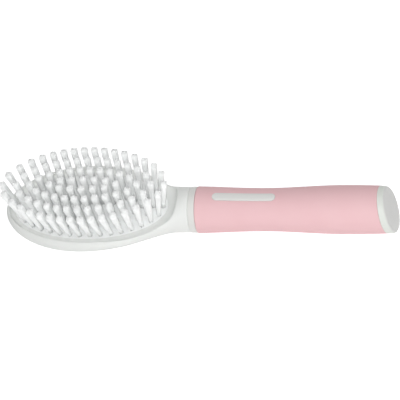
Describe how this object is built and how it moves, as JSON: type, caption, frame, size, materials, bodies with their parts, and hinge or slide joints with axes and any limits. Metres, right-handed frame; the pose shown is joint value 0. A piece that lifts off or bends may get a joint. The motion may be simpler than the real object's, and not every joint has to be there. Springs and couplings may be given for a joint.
{
  "type": "cat grooming brush",
  "caption": "Oval paddle grooming brush: nylon tufts sunk in a white head on a round, soft-sleeved handle with a slanted end.",
  "frame": {"origin": "middle of the brush's length and width, on the surface that it lies on with the bristles up", "axes": "+X from the head's tip to the handle's end, +Z the way the bristles point, +Y completes the right hand"},
  "size_m": [0.2194, 0.0568, 0.0389],
  "materials": {
    "head_plastic": "smooth moulded white, soft gloss",
    "plate_plastic": "smooth moulded white, hidden under the tufts",
    "nylon": "translucent white nylon filament",
    "collar_plastic": "smooth moulded off-white",
    "core_plastic": "plain moulded, hidden",
    "soft_grip": "matte pink soft-touch",
    "inlay_plastic": "satin pale grey, bare",
    "cap_plastic": "satin greenish white, bare"
  },
  "bodies": {
    "root": {"head_shell": "head_plastic", "bristle_plate": "plate_plastic", "tuft_ring_outer": "nylon", "tuft_ring_second": "nylon", "tuft_ring_third": "nylon", "tuft_ring_inner": "nylon", "neck_collar": "collar_plastic", "handle_core": "core_plastic", "grip_sleeve": "soft_grip", "grip_inlay": "inlay_plastic", "end_cap": "cap_plastic"}
  },
  "joints": []
}
